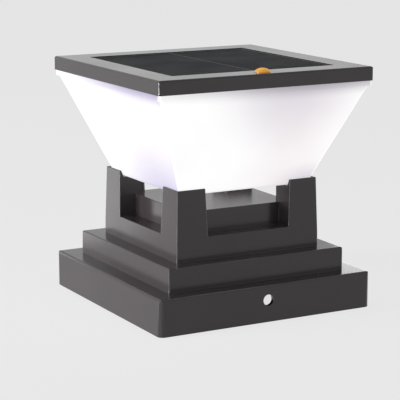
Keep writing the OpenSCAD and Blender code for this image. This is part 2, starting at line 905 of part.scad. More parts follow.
module lamps() {
    first = -(lamp_rows - 1) / 2 * lamp_pitch;
    color(lamp_colour)
        for (i = [0 : lamp_rows - 1], j = [0 : lamp_rows - 1])
            translate([first + i * lamp_pitch, first + j * lamp_pitch, z_lamp_board - lamp_t])
                difference() {
                    translate([-lamp_l / 2, -lamp_w / 2, 0])
                        cube([lamp_l, lamp_w, lamp_t]);
                    translate([0, 0, -over])
                        cylinder(d = lamp_window_d, h = lamp_window_h + over);
                }
}

module lamp_board_screws() {
    color(steel)
        at_sides(lamp_screw_at)
            screw_up(small_screw_d, board_screw_l, small_head_d, small_head_h, z_lamp_board);
}

module battery_holder() {
    color(black_plastic)
        difference() {
            translate([-holder_l / 2, battery_y - holder_w / 2, z_tub_floor])
                union() {
                    cube([holder_l, holder_w, holder_t]);
                    for (x = [0, holder_l - holder_wall_t])
                        translate([x, 0, 0])
                            cube([holder_wall_t, holder_w, holder_wall_h]);
                    for (y = [0, holder_w - holder_wall_t])
                        translate([0, y, 0])
                            cube([holder_l, holder_wall_t, rail_h]);
                }
            for (x = [-peg_at, peg_at])
                translate([x, battery_y, z_tub_floor - over])
                    cylinder(d = peg_d + 2 * fit_gap, h = holder_t + 2 * over);
        }
}

module battery_cell() {
    color(battery_colour)
        translate([0, battery_y, battery_z])
            rotate([0, 90, 0]) {
                translate([0, 0, battery_low_x])
                    cylinder(d = battery_d, h = battery_l - nub_h);
                translate([0, 0, battery_low_x])
                    cylinder(d = nub_d, h = battery_l);
            }
}

// Flat contact against the inside of an end wall, folded over it, with a tag outside
module contact_strip(side) {
    inside = holder_l / 2 - holder_wall_t - contact_t;
    top = z_tub_floor + holder_wall_h;
    mirror([side < 0 ? 1 : 0, 0, 0])
        translate([inside, battery_y - contact_w / 2, 0]) {
            translate([0, 0, z_tub_floor + holder_t])
                cube([contact_t, contact_w, holder_wall_h - holder_t + contact_t]);
            translate([0, 0, top])
                cube([holder_wall_t + 2 * contact_t, contact_w, contact_t]);
            translate([contact_t + holder_wall_t, 0, top - tag_h])
                cube([contact_t, contact_w, tag_h + contact_t]);
        }
}

module contact_plate() {
    color(steel)
        contact_strip(1);
}

// Contact strip with a coil that presses on the battery's flat end
module contact_spring() {
    coil_start = -holder_l / 2 + holder_wall_t + contact_t;
    coil_end = battery_low_x - spring_wire_d / 2 - fit_gap;
    coil_r = (spring_coil_d - spring_wire_d) / 2;
    steps = spring_turns * spring_steps;
    turn = 360 / spring_steps;
    rise = (coil_end - coil_start) / steps;
    points = [for (i = [0 : steps])
        [coil_start + i * rise, battery_y + coil_r * cos(i * turn), battery_z + coil_r * sin(i * turn)]];
    slopes = [for (i = [0 : steps])
        unit([rise, -coil_r * sin(i * turn) * turn * PI / 180, coil_r * cos(i * turn) * turn * PI / 180])];
    color(steel) {
        contact_strip(-1);
        swept_wire(points, slopes, [1, 0, 0], spring_wire_d, spring_sides);
    }
}

module control_board() {
    color(board_green)
        translate([0, control_y, z_control])
            difference() {
                translate([-control_l / 2, -control_w / 2, 0])
                    cube([control_l, control_w, control_t]);
                at_corners(control_screw_x, control_screw_y)
                    translate([0, 0, -over])
                        cylinder(d = small_screw_d + 2 * screw_hole_gap, h = control_t + 2 * over);
            }
}

module controller_chip() {
    first = -(chip_legs - 1) / 2 * chip_leg_pitch;
    color(black_plastic)
        translate(concat(on_board(chip_place_shares), z_control_top)) {
            translate([-chip_l / 2, -chip_w / 2, 0])
                cube([chip_l, chip_w, chip_h]);
            for (i = [0 : chip_legs - 1])
                translate([first + i * chip_leg_pitch - chip_leg_w / 2, -chip_w / 2 - chip_leg_l, 0])
                    cube([chip_leg_w, chip_w + 2 * chip_leg_l, chip_leg_t]);
        }
}

module inductor() {
    color(ferrite_colour)
        translate(concat(on_board(inductor_place_shares), z_control_top)) {
            cylinder(d = inductor_d, h = inductor_flange_t);
            cylinder(d = inductor_core_d, h = inductor_h);
            translate([0, 0, inductor_h - inductor_flange_t])
                cylinder(d = inductor_d, h = inductor_flange_t);
        }
}

module capacitor() {
    color(can_colour)
        translate(concat(on_board(capacitor_place_shares), z_control_top)) {
            translate([-capacitor_foot_w / 2, -capacitor_foot_w / 2, 0])
                cube([capacitor_foot_w, capacitor_foot_w, capacitor_foot_t]);
            cylinder(d = capacitor_d, h = capacitor_h);
        }
}

module lead_sockets() {
    color(white_plastic)
        for (place = [solar_socket, switch_socket, battery_socket, lamp_socket])
            translate([place[0] - socket_l / 2, place[1] - socket_d / 2, z_control_top])
                cube([socket_l, socket_d, socket_h]);
}

module board_screws() {
    color(steel)
        translate([0, control_y, 0])
            at_corners(control_screw_x, control_screw_y)
                screw_down(small_screw_d, board_screw_l, small_head_d, small_head_h, z_control_top);
}

module tray_screws() {
    color(steel)
        at_corners(tray_screw_at, tray_screw_at)
            screw_up(small_screw_d, tray_screw_l, small_head_d, small_head_h, z_tray - flange_t);
}

module head_screws() {
    color(steel)
        at_corners(pillar_mid, pillar_mid)
            screw_up(head_screw_d, head_screw_l, head_screw_head_d, head_screw_head_h,
                z_seat - seat_t);
}

module solar_leads() {
    color(lead_colour)
        for (x = [-lead_pitch / 2, lead_pitch / 2])
            lead([solar_socket[0] + x, solar_pad_y, z_backing], [0, 0, -1], reach_socket,
                [solar_socket[0] + x, solar_socket[1], z_socket], [0, 0, 1],
                reach_socket);
}

module battery_leads() {
    strip_x = (holder_l - holder_wall_t) / 2;
    strip_z = z_tub_floor + holder_wall_h + contact_t;
    color(lead_colour)
        for (side = [-1, 1])
            lead([side * strip_x, battery_y, strip_z], [0, 0, 1],
                battery_rise_share * (z_backing - strip_z),
                [battery_socket[0] + side * lead_pitch / 2, battery_socket[1], z_socket],
                [0, 0, 1], pair_rise_share * (z_backing - z_socket));
}

module lamp_leads() {
    color(lead_colour)
        for (x = [-lead_pitch / 2, lead_pitch / 2])
            lead([x, lamp_hole_y, z_tub_low], [0, 0, 1], reach_lamp,
                [lamp_socket[0] + x, lamp_socket[1], z_socket], [0, 0, 1], reach_socket);
}

module switch_leads() {
    color(lead_colour)
        for (x = [-lead_pitch / 2, lead_pitch / 2])
            lead([x, button_y + switch_board_w / 2, z_switch_board - switch_board_t / 2],
                [0, 1, 0], reach_switch,
                [switch_socket[0] + x, switch_socket[1], z_socket], [0, 0, 1],
                reach_socket);
}

base_shell();
diffuser();
lid_frame();
lid_seal();
panel_tape();
panel_backing();
cell_left();
cell_right();
cell_ribbons();
panel_cover();
power_button();
switch_plunger();
switch_body();
switch_board();
lamp_tray();
lamp_board();
lamps();
lamp_board_screws();
battery_holder();
battery_cell();
contact_spring();
contact_plate();
control_board();
controller_chip();
inductor();
capacitor();
lead_sockets();
board_screws();
tray_screws();
head_screws();
solar_leads();
battery_leads();
lamp_leads();
switch_leads();
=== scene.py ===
"""Looks of a solar deck post cap light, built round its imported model.

Every length is in metres, +Z is up, and the origin is the middle of the base's underside. The front,
with the push button and a fixing hole, faces -Y.
"""

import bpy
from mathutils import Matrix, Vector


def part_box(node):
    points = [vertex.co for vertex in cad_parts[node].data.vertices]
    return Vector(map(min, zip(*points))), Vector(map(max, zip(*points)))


bl_info = {
    "name": "Solar Post Cap Light",
    "version": (1, 0, 0),
    "blender": (4, 5, 0),
    "location": "View3D > Sidebar > Cap Light",
    "description": "Builds a solar deck post cap light with its finishes and its studio",
    "category": "Add Mesh",
}

import math

import bmesh
import bpy
from bpy.props import FloatProperty, FloatVectorProperty, PointerProperty
from mathutils import Matrix, Vector

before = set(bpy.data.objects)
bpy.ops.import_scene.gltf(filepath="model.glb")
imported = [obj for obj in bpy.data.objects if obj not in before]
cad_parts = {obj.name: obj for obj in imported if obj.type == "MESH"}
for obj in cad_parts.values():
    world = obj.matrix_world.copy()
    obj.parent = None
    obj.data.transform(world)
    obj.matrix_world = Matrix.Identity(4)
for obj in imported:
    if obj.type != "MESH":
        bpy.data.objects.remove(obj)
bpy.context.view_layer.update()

MM = 0.001

# Painted shade spots over the painted glow: kind of face, middle, half size, and the name of the colour.
# The first number of each pair runs along the face, -1 to 1 over its width, and the second up it, from 0
# to 1.
GLOW_SPOTS = (
    ("front", (0.36, 0.3), (0.62, 3.0), "floor_shade"),
    ("front", (0.6, 0.0), (0.45, 0.25), "tray_shade"),
    ("front", (0.24, 1.04), (0.88, 0.81), "tray_shade"),
    ("front", (0.46, 1.0), (2.25, 0.2), "lip_shade"),
    ("side", (0.51, 0.45), (1.2, 0.6), "floor_shade"),
    ("side", (0.4, -0.18), (1.1, 0.81), "cool_shade"),
    ("side", (0.72, 1.02), (2.1, 0.25), "cool_lip_shade"),
)

# Moulded plastic: its darkest tone and its worn edges against its own colour, what wear and painted
# highlight add on top, and how far its roughness drifts. The worn edges are partly wear and partly a
# painted highlight
MOULDED_DARK = 0.88
WORN_SHEEN_GAIN = 1.9
WORN_SHEEN_LIFT = 0.02
MOULDED_DRIFT = 0.05

# Metal: its dullest tone against its own colour, and how far its roughness drifts
METAL_DULL = 0.82
METAL_DRIFT = 0.2

# Darkest tone of frosted plastic and of a sleeve against their own colours
FROST_DARK = 0.94
SLEEVE_DARK = 0.75

# Shares of red, green and blue in the bluest facets of a cell and in the painted shade at the foot of the
# button
CELL_BLUE = (1.0, 1.15, 1.35)
BUTTON_FOOT_SHADE = (0.62, 0.5, 0.6)

# How strongly the lines and the bars show on a cell
FINGER_SHARE = 0.22
BAR_SHARE = 0.12

# Depths of fine relief
SATIN_DEPTH = 0.006 * MM
DRAWN_DEPTH = 0.004 * MM
TRACK_DEPTH = 0.03 * MM
FLOW_DEPTH = 0.03 * MM

# Pitch and width of a circuit board's tracks, counted along X and along Y
TRACKS_BY_X = (3.1 * MM, 0.5 * MM)
TRACKS_BY_Y = (4.3 * MM, 0.4 * MM)

# Depths below the top of the button where its painted shade starts and where it is full
BUTTON_SHADE_START_DEPTH = 0.3 * MM
BUTTON_SHADE_FULL_DEPTH = 2.2 * MM

# Colours of the inner pieces
SEAL_BLACK = (0.02, 0.02, 0.021)
TAPE_BLACK = (0.03, 0.03, 0.03)
PANEL_GREY = (0.5, 0.5, 0.51)
PANEL_TRACK_GREY = (0.54, 0.54, 0.55)
TINNED_GREY = (0.62, 0.62, 0.6)
PLUNGER_WHITE = (0.7, 0.7, 0.68)
SWITCH_BLACK = (0.015, 0.015, 0.016)
TRAY_WHITE = (0.78, 0.78, 0.76)
LAMP_BOARD_WHITE = (0.8, 0.8, 0.79)
LAMP_TRACK_WHITE = (0.7, 0.7, 0.69)
LAMP_YELLOW = (0.8, 0.66, 0.2)
LAMP_PALE_YELLOW = (0.9, 0.8, 0.4)
LAMP_LIGHT_WARM = (1.0, 0.97, 0.9)
HOLDER_BLACK = (0.014, 0.014, 0.015)
BATTERY_GREEN = (0.03, 0.2, 0.08)
CONTACT_GREY = (0.6, 0.6, 0.58)
BOARD_GREEN = (0.012, 0.1, 0.035)
TRACK_GREEN = (0.03, 0.2, 0.07)
CHIP_BLACK = (0.016, 0.016, 0.017)
FERRITE_GREY = (0.055, 0.055, 0.06)
CAN_GREY = (0.7, 0.7, 0.72)
ZINC_GREY = (0.66, 0.66, 0.67)
LEAD_RED = (0.5, 0.03, 0.02)

# White of the sky, of the cards and of the lamps' light
WHITE = (1.0, 1.0, 1.0)

# Floor: half its width, how far it lies under the base, its own grey and how much of that its duller
# patches keep, the strength of its even part, and the share that is lit and so shows the shadow
FLOOR_HALF = 30.0
FLOOR_DROP = 0.02 * MM
FLOOR_PALE = 0.45
FLOOR_DULL = 0.99
FLOOR_EVEN = 1.39
SHADOW_SHARE = 0.3

# Light of the sky at the horizon and overhead, and the backdrop's shares of the grey there
SKY_LOW = 0.08
SKY_HIGH = 0.2
HORIZON_SHARE = 1.03
CEILING_SHARE = 0.8

# Point that the lamps face
LAMP_AIM = Vector((0.0, 0.0, 0.05))

# Lamps: name, place, size, power and whether gloss shows them
LAMPS = (
    ("key_lamp", (-0.94, 0.25, 0.14), (0.5, 0.28), 11.2, True),
    ("fill_lamp", (0.35, -0.85, 0.1), (0.5, 0.3), 1.5, False),
)

# Reflector cards: name, place, size and strength
CARDS = (
    ("edge_card", (-0.387, -0.21, 0.06), (0.04, 0.11), 95.0),
    ("right_card", (0.137, 0.06, 0.03), (0.055, 0.06), 2.6),
    ("back_card", (-0.085, 0.14, 0.03), (0.036, 0.06), 2.0),
)

# Nearest and furthest distance that the camera sees
CLIP_NEAR = 0.01
CLIP_FAR = 200.0


class CapLightSizes(bpy.types.PropertyGroup):
    """Sizes of the fine detail that the finishes add."""

    edge_round: FloatProperty(
        name="Edge rounding", description="Rounding of the moulded edges",
        default=0.25 * MM, min=0.0, unit="LENGTH")
    # The rim is a painted highlight: a pale line along the base's upright edges
    highlight_rim_width: FloatProperty(
        name="Rim width", description="Width of the pale rim along the base's upright edges",
        default=0.6 * MM, min=0.0, unit="LENGTH")
    highlight_rim_reach: FloatProperty(
        name="Rim reach", description="Distance from the middle where the rim starts",
        default=33.0 * MM, min=0.0, unit="LENGTH")
    grain_size: FloatProperty(
        name="Grain size", description="Size of one dimple of the moulded grain",
        default=0.35 * MM, min=0.05 * MM, unit="LENGTH")
    grain_depth: FloatProperty(
        name="Grain depth", description="Depth of the moulded grain",
        default=0.012 * MM, min=0.0, unit="LENGTH")
    finger_pitch: FloatProperty(
        name="Finger pitch", description="Distance between the printed lines on a solar cell",
        default=1.9 * MM, min=0.2 * MM, unit="LENGTH")
    finger_width: FloatProperty(
        name="Finger width", description="Width of a printed line on a solar cell",
        default=0.09 * MM, min=0.01 * MM, unit="LENGTH")
    bar_pitch: FloatProperty(
        name="Bar pitch", description="Distance between the wider printed bars of the solar cells",
        default=20.0 * MM, min=1.0 * MM, unit="LENGTH")
    bar_width: FloatProperty(
        name="Bar width", description="Width of a printed bar on a solar cell",
        default=0.7 * MM, min=0.05 * MM, unit="LENGTH")


class CapLightColours(bpy.types.PropertyGroup):
    """Colours of the light's finishes, and of the diffuser's painted glow and its painted shade."""

    base: FloatVectorProperty(
        name="Base", description="Charcoal plastic of the stepped base", subtype="COLOR",
        size=3, min=0.0, max=1.0, default=(0.051, 0.0415, 0.0445))
    lid: FloatVectorProperty(
        name="Lid", description="Charcoal plastic of the lid", subtype="COLOR",
        size=3, min=0.0, max=1.0, default=(0.04, 0.032, 0.0345))
    # Painted highlight along the base's upright edges
    highlight_rim: FloatVectorProperty(
        name="Rim", description="Pale rim along the base's upright edges", subtype="COLOR",
        size=3, min=0.0, max=1.0, default=(0.24, 0.24, 0.245))
    frost: FloatVectorProperty(
        name="Frost", description="Frosted plastic of the diffuser", subtype="COLOR",
        size=3, min=0.0, max=1.0, default=(0.1, 0.1, 0.1))
    # Painted glow: emission in place of the lamps' light through the diffuser. The shades after it are
    # painted shade over that glow
    glow: FloatVectorProperty(
        name="Glow", description="Light of the lamps through the diffuser", subtype="COLOR",
        size=3, min=0.0, max=1.0, default=(0.95, 0.945, 0.95))
    tray_shade: FloatVectorProperty(
        name="Tray shade", description="Dimmer glow near the top and the bottom of the front",
        subtype="COLOR", size=3, min=0.0, max=1.0, default=(0.65, 0.61, 0.67))
    floor_shade: FloatVectorProperty(
        name="Floor shade", description="Slightly dimmer glow over one half of a face", subtype="COLOR",
        size=3, min=0.0, max=1.0, default=(0.88, 0.84, 0.85))
    lip_shade: FloatVectorProperty(
        name="Lip shade", description="Glow of the front close under the lid", subtype="COLOR",
        size=3, min=0.0, max=1.0, default=(0.27, 0.25, 0.29))
    cool_shade: FloatVectorProperty(
        name="Cool shade", description="Glow of the sides near the bottom",
        subtype="COLOR", size=3, min=0.0, max=1.0, default=(0.49, 0.44, 0.66))
    cool_lip_shade: FloatVectorProperty(
        name="Cool lip shade", description="Glow of the sides close under the lid",
        subtype="COLOR", size=3, min=0.0, max=1.0, default=(0.1, 0.04, 0.3))
    cell: FloatVectorProperty(
        name="Solar cell", description="Dark silicon of the solar cells", subtype="COLOR",
        size=3, min=0.0, max=1.0, default=(0.012, 0.015, 0.02))
    cell_print: FloatVectorProperty(
        name="Cell print", description="Printed lines and bars of the solar cells", subtype="COLOR",
        size=3, min=0.0, max=1.0, default=(0.3, 0.31, 0.32))
    cover: FloatVectorProperty(
        name="Cover", description="Clear cover over the solar cells", subtype="COLOR",
        size=3, min=0.0, max=1.0, default=(0.03, 0.033, 0.04))
    cover_edge: FloatVectorProperty(
        name="Cover edge", description="Clear cover where no cell lies under it", subtype="COLOR",
        size=3, min=0.0, max=1.0, default=(0.3, 0.3, 0.31))
    # Also the colour of the button's painted glow
    amber: FloatVectorProperty(
        name="Amber", description="Translucent plastic of the push button", subtype="COLOR",
        size=3, min=0.0, max=1.0, default=(0.92, 0.44, 0.04))


class CapLightStage(bpy.types.PropertyGroup):
    """Background and camera of the studio."""

    background: FloatProperty(
        name="Background", description="Grey of the floor and of what lies behind it",
        default=0.776, min=0.0, max=1.0)
    lens: FloatProperty(name="Lens", description="Focal length", default=146.18, unit="CAMERA")
    azimuth: FloatProperty(
        name="Azimuth", description="Direction the camera looks from, 0 from the front",
        default=math.radians(-28.687), subtype="ANGLE")
    elevation: FloatProperty(
        name="Elevation", description="Height angle of the camera above the horizon",
        default=math.radians(11.509), subtype="ANGLE")
    roll: FloatProperty(
        name="Roll", description="Turn of the camera about its own line of sight",
        default=math.radians(-0.068), subtype="ANGLE")
    distance: FloatProperty(
        name="Distance", description="Distance from the camera to the point it looks at",
        default=0.73884, unit="LENGTH")
    aim: FloatVectorProperty(
        name="Aim", description="Point that the camera looks at", subtype="XYZ", size=3,
        default=(-0.00488, 0.0, 0.04501))


def settings(name):
    """One of the three groups of values that the panel shows."""
    return getattr(bpy.context.scene, name)


def rgba(colour):
    return (*colour, 1.0)


def toned(colour, shares):
    """Colour with its red, green and blue at the given shares, or all three at one share."""
    if isinstance(shares, float):
        shares = (shares,) * 3
    return rgba([part * share for part, share in zip(colour, shares)])


def add(tree, kind, values=None, **fields):
    """Adds a node, sets its fields, and links or fills the inputs named in values."""
    made = tree.nodes.new(kind)
    for field, value in fields.items():
        setattr(made, field, value)
    for key, value in (values or {}).items():
        if isinstance(value, bpy.types.NodeSocket):
            tree.links.new(value, made.inputs[key])
        else:
            made.inputs[key].default_value = value
    return made


def calc(tree, operation, *values, clamp=False):
    """Output of a math node over numbers and sockets."""
    return add(tree, "ShaderNodeMath", dict(enumerate(values)), operation=operation,
               use_clamp=clamp).outputs[0]


def blend_colour(tree, factor, first, second):
    """Output of a colour mix from first to second."""
    return add(tree, "ShaderNodeMix", {"Factor": factor, "A": first, "B": second},
               data_type="RGBA").outputs["Result"]


def ramp(tree, value, low, high, to_low=0.0, to_high=1.0):
    """Smooth step of a value between two limits."""
    made = add(tree, "ShaderNodeMapRange", {"Value": value}, interpolation_type="SMOOTHSTEP")
    for index, limit in enumerate((low, high, to_low, to_high), start=1):
        made.inputs[index].default_value = limit
    return made.outputs[0]


def new_group(name, inputs, outputs):
    """Empty shader node group with named float inputs, and outputs given as name: socket type."""
    tree = bpy.data.node_groups.new(name, "ShaderNodeTree")
    for label, default in inputs.items():
        socket = tree.interface.new_socket(label, in_out="INPUT", socket_type="NodeSocketFloat")
        socket.default_value = default
    for label, kind in outputs.items():
        tree.interface.new_socket(label, in_out="OUTPUT", socket_type=kind)
    entry = tree.nodes.new("NodeGroupInput")
    leave = tree.nodes.new("NodeGroupOutput")
    return tree, entry.outputs, leave.inputs


def relief(tree, shader, height, depth, **inputs):
    """Gives the surface a fine relief of the given depth."""
    bump = add(tree, "ShaderNodeBump", {"Height": height, "Distance": depth, **inputs})
    tree.links.new(bump.outputs[0], shader.inputs["Normal"])


def place(tree):
    """Coordinates on the object, in metres."""
    return add(tree, "ShaderNodeTexCoord").outputs["Object"]


def grain_group():
    """Fine dimples of a spark-eroded mould, and a slow change of tone."""
    tree, given, out = new_group(
        "moulded_grain", {"Grain Scale": 2800.0, "Tone Scale": 30.0},
        {"Height": "NodeSocketFloat", "Tone": "NodeSocketFloat"})
    where = place(tree)
    dimples = add(tree, "ShaderNodeTexNoise", {
        "Vector": where, "Scale": given["Grain Scale"], "Detail": 3.0, "Roughness": 0.6})
    pits = add(tree, "ShaderNodeTexVoronoi", {"Vector": where, "Scale": given["Grain Scale"]},
               feature="SMOOTH_F1")
    height = calc(tree, "MULTIPLY_ADD", pits.outputs["Distance"], 0.5, dimples.outputs[0])
    tree.links.new(height, out["Height"])
    tone = add(tree, "ShaderNodeTexNoise", {
        "Vector": where, "Scale": given["Tone Scale"], "Detail": 4.0, "Roughness": 0.55})
    tree.links.new(ramp(tree, tone.outputs[0], low=0.3, high=0.7), out["Tone"])
    return tree


def edge_group():
    """Soft normal over the edges, and masks of the worn edges, partly wear and partly painted highlight,
    and of a painted highlight rim along upright ones.
    """
    tree, given, out = new_group(
        "edge_wear_and_sheen", {"Radius": 0.25 * MM, "Reach": 6.0, "Highlight Rim Width": 0.6 * MM},
        {"Mask": "NodeSocketFloat", "Upright": "NodeSocketFloat", "Normal": "NodeSocketVector"})
    soft = add(tree, "ShaderNodeBevel", {"Radius": given["Radius"]}, samples=6)
    flat = add(tree, "ShaderNodeNewGeometry").outputs["Normal"]
    agree = add(tree, "ShaderNodeVectorMath", {0: soft.outputs[0], 1: flat},
                operation="DOT_PRODUCT").outputs["Value"]
    bend = calc(tree, "SUBTRACT", 1.0, agree)
    patchy = add(tree, "ShaderNodeTexNoise", {"Vector": place(tree), "Scale": 420.0, "Detail": 2.0})
    # Worn edges: partly wear, partly a painted highlight along the edges
    worn_and_sheen = calc(tree, "MULTIPLY", calc(tree, "MULTIPLY", bend, given["Reach"]),
                ramp(tree, patchy.outputs[0], low=0.35, high=0.6), clamp=True)
    tree.links.new(worn_and_sheen, out["Mask"])
    # Painted highlight rim: a thin pale line along upright edges
    wide = add(tree, "ShaderNodeBevel", {"Radius": given["Highlight Rim Width"]}, samples=6)
    follow = add(tree, "ShaderNodeVectorMath", {0: wide.outputs[0], 1: flat},
                 operation="DOT_PRODUCT").outputs["Value"]
    slope = add(tree, "ShaderNodeSeparateXYZ", {0: wide.outputs[0]}).outputs["Z"]
    upright = ramp(tree, calc(tree, "ABSOLUTE", slope), low=0.3, high=0.12)
    turned = ramp(tree, follow, low=0.99, high=0.93)
    tree.links.new(calc(tree, "MULTIPLY", turned, upright), out["Upright"])
    tree.links.new(soft.outputs[0], out["Normal"])
    return tree


def patch_group():
    """Soft oval spot over two coordinates."""
    tree, given, out = new_group(
        "soft_patch", {"Along": 0.0, "Height": 0.0, "Middle Along": 0.0, "Middle Height": 0.0,
                       "Half Length": 1.0, "Half Height": 1.0}, {"Mask": "NodeSocketFloat"})
    squares = []
    for value, middle, half in (("Along", "Middle Along", "Half Length"),
                                ("Height", "Middle Height", "Half Height")):
        share = calc(tree, "DIVIDE", calc(tree, "SUBTRACT", given[value], given[middle]), given[half])
        squares.append(calc(tree, "MULTIPLY", share, share))
    distance = calc(tree, "SQRT", calc(tree, "ADD", *squares))
    tree.links.new(ramp(tree, distance, low=1.0, high=0.0), out["Mask"])
    return tree


def line_group():
    """Evenly spaced thin lines across a coordinate."""
    tree, given, out = new_group(
        "even_lines", {"Along": 0.0, "Pitch": 2 * MM, "Width": 0.1 * MM}, {"Mask": "NodeSocketFloat"})
    offset = calc(tree, "PINGPONG", given["Along"], calc(tree, "MULTIPLY", given["Pitch"], 0.5))
    near = calc(tree, "LESS_THAN", offset, calc(tree, "MULTIPLY", given["Width"], 0.5))
    tree.links.new(near, out["Mask"])
    return tree


GROUPS = {"grain": grain_group, "edge": edge_group, "patch": patch_group, "lines": line_group}
built_groups = {}


def use_group(tree, name, values=None):
    """Places a shared node group in a material, building it the first time."""
    if name not in built_groups:
        built_groups[name] = GROUPS[name]()
    return add(tree, "ShaderNodeGroup", values, node_tree=built_groups[name]).outputs


def new_material(name, **sockets):
    """Material with a Principled shader whose own sockets get the given constants."""
    made = bpy.data.materials.new(name)
    made.use_nodes = True
    tree = made.node_tree
    shader = tree.nodes["Principled BSDF"]
    for label, value in sockets.items():
        shader.inputs[label.replace("_", " ")].default_value = value
    return made, tree, shader


def moulded(name, colour, roughness=0.2, depth=0.5, wear_and_sheen=0.1, highlight_rim=False, **sockets):
    """Moulded plastic: fine grain, tone that drifts, worn edges that are partly a painted highlight and,
    if asked, a painted highlight rim.
    """
    sizes = settings("cap_light_sizes")
    made, tree, shader = new_material(name, **sockets)
    texture = use_group(tree, "grain", {"Grain Scale": 1.0 / sizes.grain_size})
    edges = use_group(tree, "edge", {"Radius": sizes.edge_round, "Highlight Rim Width": sizes.highlight_rim_width})
    dark = toned(colour, MOULDED_DARK)
    # Paler worn edges: partly wear, partly a painted highlight
    pale = rgba([min(1.0, part * WORN_SHEEN_GAIN + WORN_SHEEN_LIFT) for part in colour])
    tinted = blend_colour(tree, texture["Tone"], dark, rgba(colour))
    worn_and_sheen = blend_colour(tree, calc(tree, "MULTIPLY", edges["Mask"], wear_and_sheen), tinted, pale)
    # Painted highlight rim on the outer upright edges
    if highlight_rim:
        axes = add(tree, "ShaderNodeSeparateXYZ", {0: place(tree)}).outputs
        from_middle = calc(tree, "MAXIMUM", calc(tree, "ABSOLUTE", axes["X"]),
                           calc(tree, "ABSOLUTE", axes["Y"]))
        highlight_rim_mask = calc(tree, "MULTIPLY", edges["Upright"],
                     calc(tree, "GREATER_THAN", from_middle, sizes.highlight_rim_reach))
        worn_and_sheen = blend_colour(tree, highlight_rim_mask, worn_and_sheen, rgba(settings("cap_light_colours").highlight_rim))
    tree.links.new(worn_and_sheen, shader.inputs["Base Color"])
    tree.links.new(calc(tree, "MULTIPLY_ADD", texture["Tone"], -MOULDED_DRIFT,
                        roughness + MOULDED_DRIFT / 2), shader.inputs["Roughness"])
    relief(tree, shader, texture["Height"], sizes.grain_depth * depth, Normal=edges["Normal"])
    return made


def metal(name, colour, roughness=0.3, stretch=(1.0, 1.0, 12.0)):
    """Plated or drawn metal with fine drawn lines."""
    made, tree, shader = new_material(name, Metallic=1.0)
    drawn = add(tree, "ShaderNodeMapping", {"Vector": place(tree), "Scale": stretch})
    lines = add(tree, "ShaderNodeTexNoise", {"Vector": drawn.outputs[0], "Scale": 900.0, "Detail": 4.0})
    tree.links.new(blend_colour(tree, lines.outputs[0], toned(colour, METAL_DULL), rgba(colour)),
                   shader.inputs["Base Color"])
    tree.links.new(calc(tree, "MULTIPLY_ADD", lines.outputs[0], METAL_DRIFT,
                        roughness - METAL_DRIFT / 2), shader.inputs["Roughness"])
    relief(tree, shader, lines.outputs[0], DRAWN_DEPTH)
    return made


def board(name, mask_colour, track_colour):
    """Circuit board: solder mask over faint tracks that run both ways."""
    made, tree, shader = new_material(name, Roughness=0.32)
    axes = add(tree, "ShaderNodeSeparateXYZ", {0: place(tree)}).outputs
    crossing, running = (
        use_group(tree, "lines", {"Along": axes[axis], "Pitch": pitch, "Width": width})["Mask"]
        for axis, (pitch, width) in (("X", TRACKS_BY_X), ("Y", TRACKS_BY_Y)))
    field = add(tree, "ShaderNodeTexVoronoi", {"Vector": place(tree), "Scale": 90.0}).outputs["Color"]
    chosen = add(tree, "ShaderNodeSeparateColor", {0: field}).outputs[0]
    some = calc(tree, "GREATER_THAN", chosen, 0.5)
    others = calc(tree, "SUBTRACT", 1.0, some)
    track = calc(tree, "ADD", calc(tree, "MULTIPLY", crossing, some),
                 calc(tree, "MULTIPLY", running, others), clamp=True)
    tree.links.new(blend_colour(tree, track, rgba(mask_colour), rgba(track_colour)),
                   shader.inputs["Base Color"])
    relief(tree, shader, track, TRACK_DEPTH)
    return made


def along_faces(tree, axes, face, span):
    """Place along a face of the diffuser, from -1 to 1, and its mask, for front and back and for sides."""
    scale = 2.0 / span
    along_front = calc(tree, "MULTIPLY", calc(tree, "MULTIPLY", axes["X"], scale),
                       calc(tree, "MULTIPLY", calc(tree, "SIGN", face["Y"]), -1.0))
    along_side = calc(tree, "MULTIPLY", calc(tree, "MULTIPLY", axes["Y"], scale),
                      calc(tree, "SIGN", face["X"]))
    turned = calc(tree, "SUBTRACT", calc(tree, "ABSOLUTE", face["X"]), calc(tree, "ABSOLUTE", face["Y"]))
    return {"front": (along_front, ramp(tree, turned, low=-0.1, high=-0.7)),
            "side": (along_side, ramp(tree, turned, low=0.1, high=0.7))}


